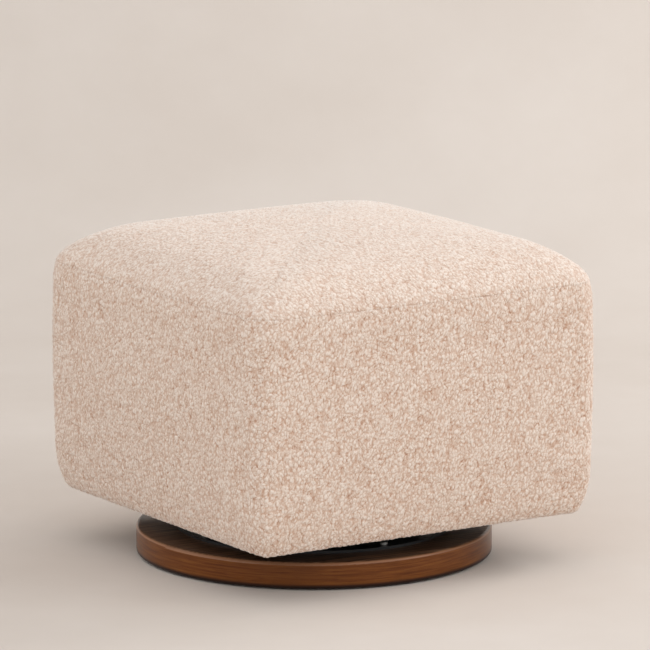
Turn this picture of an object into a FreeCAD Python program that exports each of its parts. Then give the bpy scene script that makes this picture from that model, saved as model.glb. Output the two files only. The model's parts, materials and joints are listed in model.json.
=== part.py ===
import FreeCAD, Part
import math
import os

# Glider ottoman, in millimetres. +Z is up, the floor is Z = 0, and the front is the -Y side.
# The origin is on the floor under the middle of the upholstered body. It glides along Y.

V = FreeCAD.Vector
RIGHT = V(1, 0, 0)
BACK = V(0, 1, 0)
UP = V(0, 0, 1)
SIDES = {"left": -1, "right": 1}
ENDS = {"front": -1, "rear": 1}

# Upholstered body: width is left to right, depth is front to back
body_width = 500.0
body_depth = 491.0
body_underside = 60.0
seam_height = 343.0
upper_corner_radius = 41.0
lower_corner_radius = 21.0
side_bow = 6.0
lower_taper = 6.0
seam_draw_in = 4.4
under_edge_height = 67.0
under_edge_width = 20.0
top_edge_rise = 31.0
top_edge_width = 53.0
top_edge_power = 1.25
top_crown = 29.0
corner_growth = 0.4
crown_rounding = 0.6

# Cover and padding
cover_thickness = 4.0
soft_gap = 0.3
side_padding = 38.0
dust_cover_thickness = 0.8
dust_cover_setback = 3.0

# Timber frame inside the body
panel_thickness = 15.0
deck_thickness = 12.0
deck_below_seam = 30.0
slat_thickness = 15.0
slat_width = 30.0
corner_post_width = 20.0
mount_rail_width = 40.0
mount_rail_height = 35.0
mount_rail_to_post = 2.0

# Round wooden base and its steel plate
base_back_shift = -9.0
base_radius = 215.0
base_thickness = 32.0
base_top_round = 4.0
base_foot_round = 2.0
pad_radius = 12.0
pad_thickness = 2.0
pad_ring_radius = 195.0
pad_count = 6
plate_radius = 168.0
plate_thickness = 3.0
plate_screw_ring_radius = 154.0
plate_screw_count = 8

# Towers that stand on the plate and carry the links
tower_gauge = 3.0
tower_foot_width = 33.0
tower_bend_radius = 2.0
tower_bolt_count = 3
tower_bolt_spacing = 65.0
brace_height = 24.0
brace_depth = 30.0
brace_wall = 2.0
brace_end_size = 68.0
brace_end_thickness = 3.0
brace_above_plate = 36.0
brace_bolt_spacing = 50.0

# Four hanging links, their ball bearings and the pivots
link_length = 90.0
link_width = 22.0
link_eye_radius = 16.0
link_thickness = 4.0
pivot_spacing = 150.0
lower_pivot_above_underside = 44.0
swing_limit = 28.0
bearing_outer_radius = 11.0
bearing_width = 7.0
ball_radius = 1.98
ball_count = 7
ball_clearance = 0.05
race_shoulder = 0.6
pivot_bolt_radius = 4.0
pivot_bolt_clearance = 0.02
upper_spacer_length = 9.5
lower_spacer_length = 3.5
spacer_wall = 2.0

# Rubber stops beside the links
stop_radius = 9.0
stop_length = 16.0
stop_below_pivot = 55.0
stop_clearance = 0.4

# Hangers that the seat rests on
hanger_gauge = 3.0
hanger_to_mount_rail = 13.0
hanger_length = 262.0
hanger_web_below_pivot = 18.0
hanger_web_above_pivot = 15.0
hanger_bolt_spacing = 105.0
hanger_bolt_count = 3

# Fasteners
bolt_radius = 4.0
bolt_flats = 13.0
bolt_head = 5.3
bolt_hole_clearance = 0.2
lock_nut_height = 6.5
weld_nut_height = 6.5
nut_pocket_clearance = 1.0
bolt_end = 1.0
tee_nut_flange_radius = 10.0
tee_nut_flange_thickness = 1.5
tee_nut_barrel_radius = 5.0
tee_nut_barrel_length = 12.0
plate_screw_head_radius = 5.0
plate_screw_head = 2.5
plate_screw_radius = 2.4
plate_screw_length = 22.0
frame_screw_head_radius = 4.2
frame_screw_head = 2.0
frame_screw_radius = 2.1
frame_screw_length = 42.0
staple_crown = 11.0
staple_wire = 0.7
staple_leg = 10.0
staples_per_side = 7

# Places worked out from the sizes above
half_width = body_width / 2
half_depth = body_depth / 2
wood_top = pad_thickness + base_thickness
plate_top = wood_top + plate_thickness
foot_top = plate_top + tower_gauge
frame_bottom = body_underside + cover_thickness
deck_top = seam_height - deck_below_seam
panel_top = deck_top - deck_thickness
frame_half_x = half_width - cover_thickness - side_padding
frame_half_y = half_depth - cover_thickness - side_padding
inner_half_x = frame_half_x - panel_thickness
inner_half_y = frame_half_y - panel_thickness
slat_top = frame_bottom + slat_thickness
lower_pivot_height = body_underside + lower_pivot_above_underside
upper_pivot_height = lower_pivot_height + link_length
hanger_bottom = lower_pivot_height - hanger_web_below_pivot
mount_rail_bottom = hanger_bottom + hanger_gauge
mount_rail_top = mount_rail_bottom + mount_rail_height
mount_rail_outer = inner_half_x - corner_post_width - mount_rail_to_post
mount_rail_inner = mount_rail_outer - mount_rail_width
mount_rail_middle = mount_rail_outer - mount_rail_width / 2
hanger_outer_face = mount_rail_inner - hanger_to_mount_rail
hanger_inner_face = hanger_outer_face - hanger_gauge
bearing_outer_face = hanger_inner_face - lower_spacer_length
bearing_inner_face = bearing_outer_face - bearing_width
link_middle = bearing_inner_face + bearing_width / 2
tower_outer_face = bearing_inner_face - upper_spacer_length
tower_inner_face = tower_outer_face - tower_gauge
ball_ring_radius = (pivot_bolt_radius + bearing_outer_radius) / 2


def box(x_low, x_high, y_low, y_high, z_low, z_high):
    """A block between six faces."""
    corner = V(x_low, y_low, z_low)
    return Part.makeBox(x_high - x_low, y_high - y_low, z_high - z_low, corner)


def side_box(side, x_near, x_far, y_low, y_high, z_low, z_high):
    """A block on the left or right side, between two distances from the middle plane."""
    ends = sorted((side * x_near, side * x_far))
    return box(ends[0], ends[1], y_low, y_high, z_low, z_high)


def rod(start, along, length, radius):
    """A round bar from a point, along a direction."""
    return Part.makeCylinder(radius, length, start, along)


def ring(start, along, length, outer_radius, inner_radius):
    """A tube or washer from a point, along a direction."""
    return rod(start, along, length, outer_radius).cut(rod(start, along, length, inner_radius))


def hexagon(start, along, length, flats):
    """A hexagonal prism, such as a bolt head, with its size given across the flats."""
    corner = flats / math.sqrt(3)
    first = RIGHT if abs(along.z) > 0.5 else UP
    second = along.cross(first)
    points = []
    for step in range(7):
        turn = math.radians(60 * step)
        points.append(start + first * (corner * math.cos(turn)) + second * (corner * math.sin(turn)))
    return Part.Face(Part.makePolygon(points)).extrude(along * length)


def bolt(seat, along, reach, radius=bolt_radius):
    """A hex bolt: its head is seated at a point and its shank runs along a direction."""
    return hexagon(seat, along * -1, bolt_head, bolt_flats).fuse(rod(seat, along, reach, radius))


def nut(seat, along, height, thread_radius):
    """A hex nut seated at a point, on a shank of the given radius."""
    return hexagon(seat, along, height, bolt_flats).cut(rod(seat, along, height, thread_radius))


def round_screw(seat, along, head_radius, head, radius, length):
    """A screw whose round head starts at the seat and whose shank runs on below the head."""
    return rod(seat, along, head, head_radius).fuse(rod(seat, along, length, radius))


def group(solids):
    """Separate identical pieces kept together as one sub-part."""
    return Part.makeCompound(solids)


def cut_all(solid, tools):
    """A solid with every tool's shape taken away."""
    return solid.cut(Part.makeCompound(tools))


def spread(count, spacing):
    """Places along a line, evenly spaced about its middle."""
    return [spacing * (index - (count - 1) / 2) for index in range(count)]


def around(radius, count, height):
    """Points on a circle about the base's axis."""
    points = []
    for index in range(count):
        turn = 2 * math.pi * index / count
        points.append(V(radius * math.cos(turn), base_back_shift + radius * math.sin(turn), height))
    return points


# Upholstered body

def outline(half_x, half_y, radius, bow, height):
    """A level outline: four sides that bow out and four round corners."""
    flat_x = half_x - radius
    flat_y = half_y - radius
    lean = radius * math.sqrt(0.5)
    arcs = [
        ((-flat_x, -half_y), (0, -half_y - bow), (flat_x, -half_y)),
        ((flat_x, -half_y), (flat_x + lean, -flat_y - lean), (half_x, -flat_y)),
        ((half_x, -flat_y), (half_x + bow, 0), (half_x, flat_y)),
        ((half_x, flat_y), (flat_x + lean, flat_y + lean), (flat_x, half_y)),
        ((flat_x, half_y), (0, half_y + bow), (-flat_x, half_y)),
        ((-flat_x, half_y), (-flat_x - lean, flat_y + lean), (-half_x, flat_y)),
        ((-half_x, flat_y), (-half_x - bow, 0), (-half_x, -flat_y)),
        ((-half_x, -flat_y), (-flat_x - lean, -flat_y - lean), (-flat_x, -half_y)),
    ]
    edges = []
    for start, middle, end in arcs:
        points = [V(place[0], place[1], height) for place in (start, middle, end)]
        edges.append(Part.Arc(*points).toShape())
    return Part.Wire(edges)


def corner_radius_at(height):
    """The body's corners are tight at the underside and rounder towards the seam."""
    share = (height - body_underside) / (seam_height - body_underside)
    return lower_corner_radius + (upper_corner_radius - lower_corner_radius) * min(share, 1)


def lower_body(inset):
    """The body from its underside up to the seam, with every face moved inwards by the inset."""
    outlines = []
    for turn in (0, 30, 60, 90):
        angle = math.radians(turn)
        height = body_underside + under_edge_height * (1 - math.cos(angle)) + inset * math.cos(angle)
        narrower = lower_taper + under_edge_width * (1 - math.sin(angle)) + inset * math.sin(angle)
        radius = corner_radius_at(height) - inset * math.sin(angle)
        outlines.append(outline(half_width - narrower, half_depth - narrower, radius, side_bow / 2, height))
    edge_top = body_underside + under_edge_height
    for share in (0.3, 0.6, 0.85, 1):
        height = edge_top + share * (seam_height - edge_top)
        narrower = lower_taper * (1 - share) ** 1.5 + seam_draw_in * share ** 5 + inset
        bow = side_bow * (1 + math.sin(math.pi * share)) / 2
        radius = corner_radius_at(height) - inset
        outlines.append(outline(half_width - narrower, half_depth - narrower, radius, bow, height))
    return Part.makeLoft(outlines, True)


def crown_height(reach):
    """Height that the crown adds at a share of the way from the middle of the top out to the seam."""
    return top_crown * (1 - reach ** 2)


def upper_body(inset):
    """The body from the seam up over its padded edge to the crown, moved inwards by the inset."""
    seam_half = (half_width + half_depth) / 2 - seam_draw_in
    edge = []
    for turn in (0, 15, 30, 45, 60, 75, 90):
        angle = math.radians(turn)
        over = top_edge_width * (1 - abs(math.cos(angle)) ** top_edge_power)
        rise = top_edge_rise * math.sin(angle) ** top_edge_power + crown_height(1 - over / seam_half)
        narrower = seam_draw_in + over + inset * math.cos(angle)
        radius = upper_corner_radius + corner_growth * over - inset * math.cos(angle)
        edge.append(outline(half_width - narrower, half_depth - narrower, radius, side_bow / 2,
                            seam_height + rise - inset * math.sin(angle)))
    flat_x = half_width - seam_draw_in - top_edge_width
    flat_y = half_depth - seam_draw_in - top_edge_width
    flat_radius = upper_corner_radius + corner_growth * top_edge_width
    crown = [edge[-1]]
    for share in (0.8, 0.6, 0.4, 0.2):
        rise = top_edge_rise + crown_height(share * (1 - top_edge_width / seam_half))
        rounder = flat_radius + (1 - share) * crown_rounding * (flat_y - flat_radius)
        radius = min(rounder, 0.9 * share * min(flat_x, flat_y))
        crown.append(outline(flat_x * share, flat_y * share, radius, share * side_bow / 2,
                             seam_height + rise - inset))
    return Part.makeLoft(edge, True).fuse(Part.makeLoft(crown, True))


def quarter(x_sign, y_sign):
    """A wedge seen from above: the quarter of the body that faces one side."""
    reach = 2.0
    far = [(-reach, -reach), (reach, -reach)]
    if x_sign > 0:
        far = [(reach, -reach), (reach, reach)]
    elif x_sign < 0:
        far = [(-reach, reach), (-reach, -reach)]
    elif y_sign > 0:
        far = [(reach, reach), (-reach, reach)]
    points = [V(0, 0, 0)]
    for x_share, y_share in far:
        points.append(V(x_share * half_width, y_share * half_depth, 0))
    points.append(points[0])
    return Part.Face(Part.makePolygon(points)).extrude(UP * (2 * seam_height))


def quarters():
    """The four wedges by the side that each one faces."""
    return {"front": quarter(0, -1), "right": quarter(1, 0), "rear": quarter(0, 1), "left": quarter(-1, 0)}


def hem_staples():
    """Staples through the dust cover and the turned-under hem into the panels' lower edges."""
    crown_bottom = body_underside - dust_cover_thickness - staple_wire
    middle_x = frame_half_x - panel_thickness / 2
    middle_y = frame_half_y - panel_thickness / 2
    solids = []
    for place in spread(staples_per_side, 2 * inner_half_x / staples_per_side):
        for end in ENDS.values():
            solids.append(staple(V(place, end * middle_y, crown_bottom), RIGHT))
    for place in spread(staples_per_side, 2 * (inner_half_y - slat_width) / staples_per_side):
        for side in SIDES.values():
            solids.append(staple(V(side * middle_x, place, crown_bottom), BACK))
    return solids


def staple(middle, along):
    """One staple: a flat crown and two legs that point up."""
    half = staple_crown / 2
    wire = staple_wire / 2
    reach = V(half, wire, 0) if along.x > 0.5 else V(wire, half, 0)
    crown = box(middle.x - reach.x, middle.x + reach.x, middle.y - reach.y, middle.y + reach.y,
                middle.z, middle.z + staple_wire)
    legs = []
    for sign in (-1, 1):
        foot = middle + along * (sign * (half - wire))
        legs.append(box(foot.x - wire, foot.x + wire, foot.y - wire, foot.y + wire,
                        foot.z, foot.z + staple_leg))
    return crown.fuse(legs)


def covers(staples):
    """The pile fabric: one top panel, and four side panels with hems turned under the frame."""
    parts = {"top_cover": upper_body(0).cut(upper_body(cover_thickness))}
    mouth = box(slat_width - inner_half_x, inner_half_x - slat_width,
                slat_width - inner_half_y, inner_half_y - slat_width, 0, frame_bottom + soft_gap)
    skin = lower_body(0).cut(lower_body(cover_thickness)).cut(mouth)
    skin = cut_all(skin, staples)
    for name, wedge in quarters().items():
        parts[name + "_cover"] = skin.common(wedge)
    return parts


def foams():
    """The crowned top cushion and four side pads, which fill the space between frame and cover."""
    inset = cover_thickness + soft_gap
    lower = lower_body(inset)
    room = 2 * max(body_width, body_depth)
    above = box(-room, room, -room, room, deck_top, seam_height + 1)
    below = box(-room, room, -room, room, 0, deck_top)
    frame = box(-frame_half_x, frame_half_x, -frame_half_y, frame_half_y, 0, deck_top)
    parts = {"top_foam": upper_body(inset).fuse(lower.common(above))}
    pads = lower.common(below).cut(frame)
    for name, wedge in quarters().items():
        parts[name + "_foam"] = pads.common(wedge)
    return parts


def dust_covers(staples):
    """Four strips of thin black cloth under the frame, with the middle left open for the towers."""
    low = body_underside - dust_cover_thickness
    high = body_underside
    outer_x = frame_half_x - dust_cover_setback
    outer_y = frame_half_y - dust_cover_setback
    strip_y = inner_half_y - slat_width
    parts = {}
    for name, end in ENDS.items():
        edges = sorted((end * strip_y, end * outer_y))
        parts[name + "_dust_cover"] = box(-outer_x, outer_x, edges[0], edges[1], low, high)
    for name, side in SIDES.items():
        parts[name + "_dust_cover"] = side_box(side, mount_rail_inner, outer_x, -strip_y, strip_y, low, high)
    return {name: cut_all(strip, staples) for name, strip in parts.items()}


# Timber frame

def frame_screws():
    """Screws through the end panels into the side panels and mount rails, and down through the deck."""
    solids = []
    rail_middle = (mount_rail_bottom + mount_rail_top) / 2
    heights = [frame_bottom + (panel_top - frame_bottom) * share for share in (1 / 6, 1 / 2, 5 / 6)]
    side_middle = frame_half_x - panel_thickness / 2
    for side in SIDES.values():
        for end in ENDS.values():
            inwards = BACK * -end
            for height in heights:
                solids.append(frame_screw(V(side * side_middle, end * frame_half_y, height), inwards))
            solids.append(frame_screw(V(side * mount_rail_middle, end * frame_half_y, rail_middle), inwards))
    for place in spread(3, inner_half_x * 2 / 3):
        for end in ENDS.values():
            solids.append(frame_screw(V(place, end * (frame_half_y - panel_thickness / 2), deck_top), UP * -1))
    return solids


def frame_screw(seat, along):
    """One countersunk wood screw, its head flush with the face."""
    return round_screw(seat, along, frame_screw_head_radius, frame_screw_head,
                       frame_screw_radius, frame_screw_length)


def timber(screws, staples):
    """The plywood box, its corner posts, lower slats and deck, and the rails that the hangers bolt to."""
    parts = {}
    tools = screws + staples
    for name, end in ENDS.items():
        edges = sorted((end * inner_half_y, end * frame_half_y))
        parts[name + "_panel"] = box(-frame_half_x, frame_half_x, edges[0], edges[1], frame_bottom, panel_top)
        slat = sorted((end * (inner_half_y - slat_width), end * inner_half_y))
        parts[name + "_slat"] = box(-inner_half_x, inner_half_x, slat[0], slat[1], frame_bottom, slat_top)
    slat_reach = inner_half_y - slat_width
    for name, side in SIDES.items():
        parts[name + "_panel"] = side_box(side, inner_half_x, frame_half_x, -inner_half_y, inner_half_y,
                                          frame_bottom, panel_top)
        parts[name + "_slat"] = side_box(side, inner_half_x - slat_width, inner_half_x,
                                         -slat_reach, slat_reach, frame_bottom, slat_top)
        parts[name + "_mount_rail"] = side_box(side, mount_rail_inner, mount_rail_outer,
                                               -inner_half_y, inner_half_y,
                                               mount_rail_bottom, mount_rail_top)
    parts["top_deck"] = box(-frame_half_x, frame_half_x, -frame_half_y, frame_half_y, panel_top, deck_top)
    parts = {name: cut_all(solid, tools) for name, solid in parts.items()}
    for name, side in SIDES.items():
        holes = []
        for place in hanger_bolt_places():
            seat = V(side * mount_rail_middle, place, mount_rail_bottom)
            holes.append(rod(seat, UP, mount_rail_height, tee_nut_barrel_radius))
        parts[name + "_mount_rail"] = cut_all(parts[name + "_mount_rail"], holes)
    posts = []
    for side in SIDES.values():
        for end in ENDS.values():
            edges = sorted((end * (inner_half_y - corner_post_width), end * inner_half_y))
            posts.append(side_box(side, inner_half_x - corner_post_width, inner_half_x,
                                  edges[0], edges[1], slat_top, panel_top))
    parts["corner_posts"] = group(posts)
    return parts


# Base, plate and towers

def wood_base():
    """The turned walnut disc, with pilot holes for the plate's screws and pockets for the weld nuts."""
    middle = V(0, base_back_shift, pad_thickness)
    disc = rod(middle, UP, base_thickness, base_radius)
    half_way = pad_thickness + base_thickness / 2
    disc = disc.makeFillet(base_top_round, [edge for edge in disc.Edges if edge.BoundBox.ZMin > half_way])
    disc = disc.makeFillet(base_foot_round, [edge for edge in disc.Edges if edge.BoundBox.ZMax < half_way])
    tools = plate_screws()
    pocket_radius = bolt_flats / math.sqrt(3) + nut_pocket_clearance
    pocket_depth = weld_nut_height + bolt_end
    for place in tower_bolt_places():
        tools.append(rod(V(place.x, place.y, wood_top), UP * -1, pocket_depth, pocket_radius))
    return cut_all(disc, tools)


def floor_pads():
    """Rubber discs under the base."""
    return group([rod(place, UP, pad_thickness, pad_radius) for place in around(pad_ring_radius, pad_count, 0)])


def plate_screws():
    """Round-head wood screws near the plate's rim."""
    solids = []
    for place in around(plate_screw_ring_radius, plate_screw_count, plate_top + plate_screw_head):
        solids.append(round_screw(place, UP * -1, plate_screw_head_radius, plate_screw_head,
                                  plate_screw_radius, plate_screw_length + plate_screw_head))
    return solids


def tower_bolt_places():
    """Where the towers' bolts go through the foot flanges."""
    across = tower_inner_face - tower_foot_width / 2
    places = []
    for side in SIDES.values():
        for place in spread(tower_bolt_count, tower_bolt_spacing):
            places.append(V(side * across, base_back_shift + place, foot_top))
    return places


def base_plate():
    """The black steel disc on the wood."""
    disc = rod(V(0, base_back_shift, wood_top), UP, plate_thickness, plate_radius)
    tools = plate_screws()
    for place in tower_bolt_places():
        tools.append(rod(place, UP * -1, tower_gauge + plate_thickness, bolt_radius + bolt_hole_clearance))
    return cut_all(disc, tools)


def brace_bolt_places():
    """Height and depth of the bolts that hold the brace to each tower."""
    height = plate_top + brace_above_plate
    return [V(0, base_back_shift + place, height) for place in spread(2, brace_bolt_spacing)]


def pivot_places(height):
    """Depth of the two pivots on one side, at the given height, by end."""
    return {name: V(0, base_back_shift + end * pivot_spacing / 2, height) for name, end in ENDS.items()}


def tower(side):
    """A bent steel plate: a tall web along Y and a foot flange turned inwards on the base plate."""
    half = pivot_spacing / 2 + link_eye_radius
    top = upper_pivot_height + link_eye_radius
    web = side_box(side, tower_inner_face, tower_outer_face, base_back_shift - half, base_back_shift + half,
                   plate_top, top)
    corners = [edge for edge in web.Edges if edge.BoundBox.ZMin > top - 1 and edge.BoundBox.YLength < 1]
    web = web.makeFillet(link_eye_radius - 1, corners)
    foot = side_box(side, tower_inner_face - tower_foot_width, tower_inner_face,
                    base_back_shift - half, base_back_shift + half, plate_top, foot_top)
    bend_middle = V(side * (tower_inner_face - tower_bend_radius), base_back_shift - half,
                    foot_top + tower_bend_radius)
    bend = side_box(side, tower_inner_face - tower_bend_radius, tower_inner_face,
                    base_back_shift - half, base_back_shift + half, foot_top, foot_top + tower_bend_radius)
    bend = bend.cut(rod(bend_middle, BACK, 2 * half, tower_bend_radius))
    solid = web.fuse([foot, bend]).removeSplitter()
    tools = []
    start = tower_inner_face - 1
    for place in list(pivot_places(upper_pivot_height).values()) + brace_bolt_places():
        tools.append(rod(V(side * start, place.y, place.z), RIGHT * side, tower_gauge + 2,
                         bolt_radius + bolt_hole_clearance))
    for place in tower_bolt_places():
        tools.append(rod(place, UP * -1, tower_gauge, bolt_radius + bolt_hole_clearance))
    return cut_all(solid, tools)


def tower_brace():
    """A square tube across the base with a plate welded on each end, bolted between the towers."""
    height = plate_top + brace_above_plate
    half_y = brace_depth / 2
    half_z = brace_height / 2
    reach = tower_inner_face - brace_end_thickness
    tube = box(-reach, reach, base_back_shift - half_y, base_back_shift + half_y, height - half_z, height + half_z)
    tube = tube.cut(box(-reach, reach, base_back_shift - half_y + brace_wall, base_back_shift + half_y - brace_wall,
                        height - half_z + brace_wall, height + half_z - brace_wall))
    plates = []
    half = brace_end_size / 2
    for side in SIDES.values():
        plate = side_box(side, reach, tower_inner_face, base_back_shift - half, base_back_shift + half,
                         height - half_z, height + half_z)
        for place in brace_bolt_places():
            plate = plate.cut(rod(V(side * reach, place.y, place.z), RIGHT * side, brace_end_thickness,
                                  bolt_radius + bolt_hole_clearance))
        plates.append(plate)
    return tube.fuse(plates)


def brace_bolts():
    """Short bolts from outside each tower through the brace's end plates, with nuts on the inside."""
    solids = []
    grip = tower_gauge + brace_end_thickness
    for side in SIDES.values():
        inwards = RIGHT * -side
        for place in brace_bolt_places():
            seat = V(side * tower_outer_face, place.y, place.z)
            screw = bolt(seat, inwards, grip + lock_nut_height)
            solids.append(screw.fuse(nut(seat + inwards * grip, inwards, lock_nut_height, bolt_radius)))
    return group([solid.removeSplitter() for solid in solids])


def tower_bolts():
    """Bolts down through each tower's foot and the base plate."""
    reach = tower_gauge + plate_thickness + weld_nut_height
    return group([bolt(place, UP * -1, reach) for place in tower_bolt_places()])


def tower_weld_nuts():
    """Nuts under the base plate, in pockets in the wood."""
    solids = []
    for place in tower_bolt_places():
        solids.append(nut(V(place.x, place.y, wood_top), UP * -1, weld_nut_height, bolt_radius))
    return group(solids)


def rubber_stops():
    """Rubber buffers on the towers that the links meet at each end of the glide."""
    angle = math.radians(swing_limit)
    out = link_width / 2 + stop_radius + stop_clearance
    shift = stop_below_pivot * math.sin(angle) + out * math.cos(angle)
    drop = stop_below_pivot * math.cos(angle) - out * math.sin(angle)
    solids = []
    for side in SIDES.values():
        for name, place in pivot_places(upper_pivot_height).items():
            towards_middle = -ENDS[name]
            start = V(side * tower_outer_face, place.y + towards_middle * shift, place.z - drop)
            solids.append(rod(start, RIGHT * side, stop_length, stop_radius))
    return group(solids)


# Links and pivots

def groove(middle, radius):
    """The ball track of a bearing, as a ring to cut away."""
    return Part.makeTorus(ball_ring_radius, radius, middle, RIGHT)


def bearing_middle(side, place):
    """The middle of the bearing at one pivot."""
    return V(side * link_middle, place.y, place.z)


def outer_race(side, place):
    """The bearing's outer ring, pressed into the link."""
    middle = bearing_middle(side, place)
    start = middle - RIGHT * (bearing_width / 2)
    race = ring(start, RIGHT, bearing_width, bearing_outer_radius, ball_ring_radius + race_shoulder * ball_radius)
    return race.cut(groove(middle, ball_radius + ball_clearance))


def inner_race(side, place):
    """The bearing's inner ring, clamped on the pivot bolt."""
    middle = bearing_middle(side, place)
    start = middle - RIGHT * (bearing_width / 2)
    race = ring(start, RIGHT, bearing_width, ball_ring_radius - race_shoulder * ball_radius,
                pivot_bolt_radius + pivot_bolt_clearance)
    return race.cut(groove(middle, ball_radius + ball_clearance))


def balls(side, place):
    """The bearing's balls, evenly spaced."""
    middle = bearing_middle(side, place)
    solids = []
    for index in range(ball_count):
        turn = 2 * math.pi * index / ball_count
        shift = V(0, ball_ring_radius * math.cos(turn), ball_ring_radius * math.sin(turn))
        solids.append(Part.makeSphere(ball_radius, middle + shift))
    return solids


def link(side, end):
    """A flat steel link with a round eye at each pivot."""
    upper = V(side * link_middle, base_back_shift + end * pivot_spacing / 2, upper_pivot_height)
    lower = upper - UP * link_length
    start = RIGHT * (-link_thickness / 2)
    bar = box(upper.x - link_thickness / 2, upper.x + link_thickness / 2,
              upper.y - link_width / 2, upper.y + link_width / 2, lower.z, upper.z)
    eyes = [rod(pivot + start, RIGHT, link_thickness, link_eye_radius) for pivot in (upper, lower)]
    holes = [rod(pivot + start, RIGHT, link_thickness, bearing_outer_radius) for pivot in (upper, lower)]
    return cut_all(bar.fuse(eyes).removeSplitter(), holes)


def links():
    """The four links and the bearings pressed into each."""
    parts = {}
    for end_name, end in ENDS.items():
        for side_name, side in SIDES.items():
            name = end_name + "_" + side_name
            parts[name + "_link"] = link(side, end)
            pieces = []
            for height in (upper_pivot_height, lower_pivot_height):
                place = pivot_places(height)[end_name]
                pieces.append(outer_race(side, place))
                pieces.extend(balls(side, place))
            parts[name + "_bearings"] = group(pieces)
    return parts


def pivot_sets():
    """Bolts, spacers, inner races and lock nuts of the upper pivots and of the lower ones."""
    sets = {name: [] for name in (
        "upper_pivot_bolts", "upper_pivot_spacers", "upper_inner_races", "upper_pivot_nuts",
        "lower_pivot_bolts", "lower_pivot_spacers", "lower_inner_races", "lower_pivot_nuts")}
    hole = pivot_bolt_radius + pivot_bolt_clearance
    for side in SIDES.values():
        outwards = RIGHT * side
        for place in pivot_places(upper_pivot_height).values():
            seat = V(side * tower_inner_face, place.y, place.z)
            reach = bearing_outer_face + lock_nut_height + bolt_end - tower_inner_face
            sets["upper_pivot_bolts"].append(bolt(seat, outwards, reach, pivot_bolt_radius))
            start = V(side * tower_outer_face, place.y, place.z)
            sets["upper_pivot_spacers"].append(
                ring(start, outwards, upper_spacer_length, hole + spacer_wall, hole))
            sets["upper_inner_races"].append(inner_race(side, place))
            start = V(side * bearing_outer_face, place.y, place.z)
            sets["upper_pivot_nuts"].append(nut(start, outwards, lock_nut_height, hole))
        for place in pivot_places(lower_pivot_height).values():
            seat = V(side * bearing_inner_face, place.y, place.z)
            reach = hanger_outer_face + lock_nut_height + bolt_end - bearing_inner_face
            sets["lower_pivot_bolts"].append(bolt(seat, outwards, reach, pivot_bolt_radius))
            start = V(side * bearing_outer_face, place.y, place.z)
            sets["lower_pivot_spacers"].append(
                ring(start, outwards, lower_spacer_length, hole + spacer_wall, hole))
            sets["lower_inner_races"].append(inner_race(side, place))
            start = V(side * hanger_outer_face, place.y, place.z)
            sets["lower_pivot_nuts"].append(nut(start, outwards, lock_nut_height, hole))
    return {name: group(solids) for name, solids in sets.items()}


# Hangers

def hanger_bolt_places():
    """Depth of each bolt along a hanger."""
    return [base_back_shift + place for place in spread(hanger_bolt_count, hanger_bolt_spacing)]


def hanger(side):
    """A steel angle along Y: its web hangs on the lower pivots and its flange carries the mount rail."""
    front = base_back_shift - hanger_length / 2
    rear = base_back_shift + hanger_length / 2
    top = lower_pivot_height + hanger_web_above_pivot
    web = side_box(side, hanger_inner_face, hanger_outer_face, front, rear, hanger_bottom, top)
    flange = side_box(side, hanger_outer_face, mount_rail_outer, front, rear, hanger_bottom, mount_rail_bottom)
    tools = []
    for place in pivot_places(lower_pivot_height).values():
        tools.append(rod(V(side * hanger_inner_face, place.y, place.z), RIGHT * side, hanger_gauge,
                         pivot_bolt_radius + bolt_hole_clearance))
    for place in hanger_bolt_places():
        tools.append(rod(V(side * mount_rail_middle, place, hanger_bottom), UP, hanger_gauge,
                         bolt_radius + bolt_hole_clearance))
    return cut_all(web.fuse(flange).removeSplitter(), tools)


def hanger_bolts():
    """Bolts up through each hanger's flange and the mount rail."""
    reach = mount_rail_top - hanger_bottom
    solids = []
    for side in SIDES.values():
        for place in hanger_bolt_places():
            solids.append(bolt(V(side * mount_rail_middle, place, hanger_bottom), UP, reach))
    return group(solids)


def hanger_tee_nuts():
    """Tee nuts let into the top of each mount rail."""
    solids = []
    for side in SIDES.values():
        for place in hanger_bolt_places():
            top = V(side * mount_rail_middle, place, mount_rail_top)
            flange = ring(top, UP, tee_nut_flange_thickness, tee_nut_flange_radius, bolt_radius)
            barrel = ring(top, UP * -1, tee_nut_barrel_length, tee_nut_barrel_radius, bolt_radius)
            solids.append(flange.fuse(barrel).removeSplitter())
    return group(solids)


def ottoman():
    """Every sub-part by name."""
    screws = frame_screws()
    staples = hem_staples()
    parts = {
        "wood_base": wood_base(),
        "floor_pads": floor_pads(),
        "base_plate": base_plate(),
        "base_plate_screws": group(plate_screws()),
        "left_tower": tower(SIDES["left"]),
        "right_tower": tower(SIDES["right"]),
        "tower_brace": tower_brace(),
        "brace_bolts": brace_bolts(),
        "tower_bolts": tower_bolts(),
        "tower_weld_nuts": tower_weld_nuts(),
        "rubber_stops": rubber_stops(),
        "left_hanger": hanger(SIDES["left"]),
        "right_hanger": hanger(SIDES["right"]),
        "hanger_bolts": hanger_bolts(),
        "hanger_tee_nuts": hanger_tee_nuts(),
        "frame_screws": group(screws),
        "hem_staples": group(staples),
    }
    parts.update(pivot_sets())
    parts.update(links())
    parts.update(timber(screws, staples))
    parts.update(foams())
    parts.update(covers(staples))
    parts.update(dust_covers(staples))
    return parts


os.makedirs("parts", exist_ok=True)
for part_name, shape in ottoman().items():
    shape.exportStep("parts/" + part_name + ".step")
    print(part_name, len(shape.Solids), round(shape.Volume), shape.isValid())
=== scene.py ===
"""A glider ottoman in curly pile fabric over a round walnut base: its looks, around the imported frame."""
import json
import math

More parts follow.
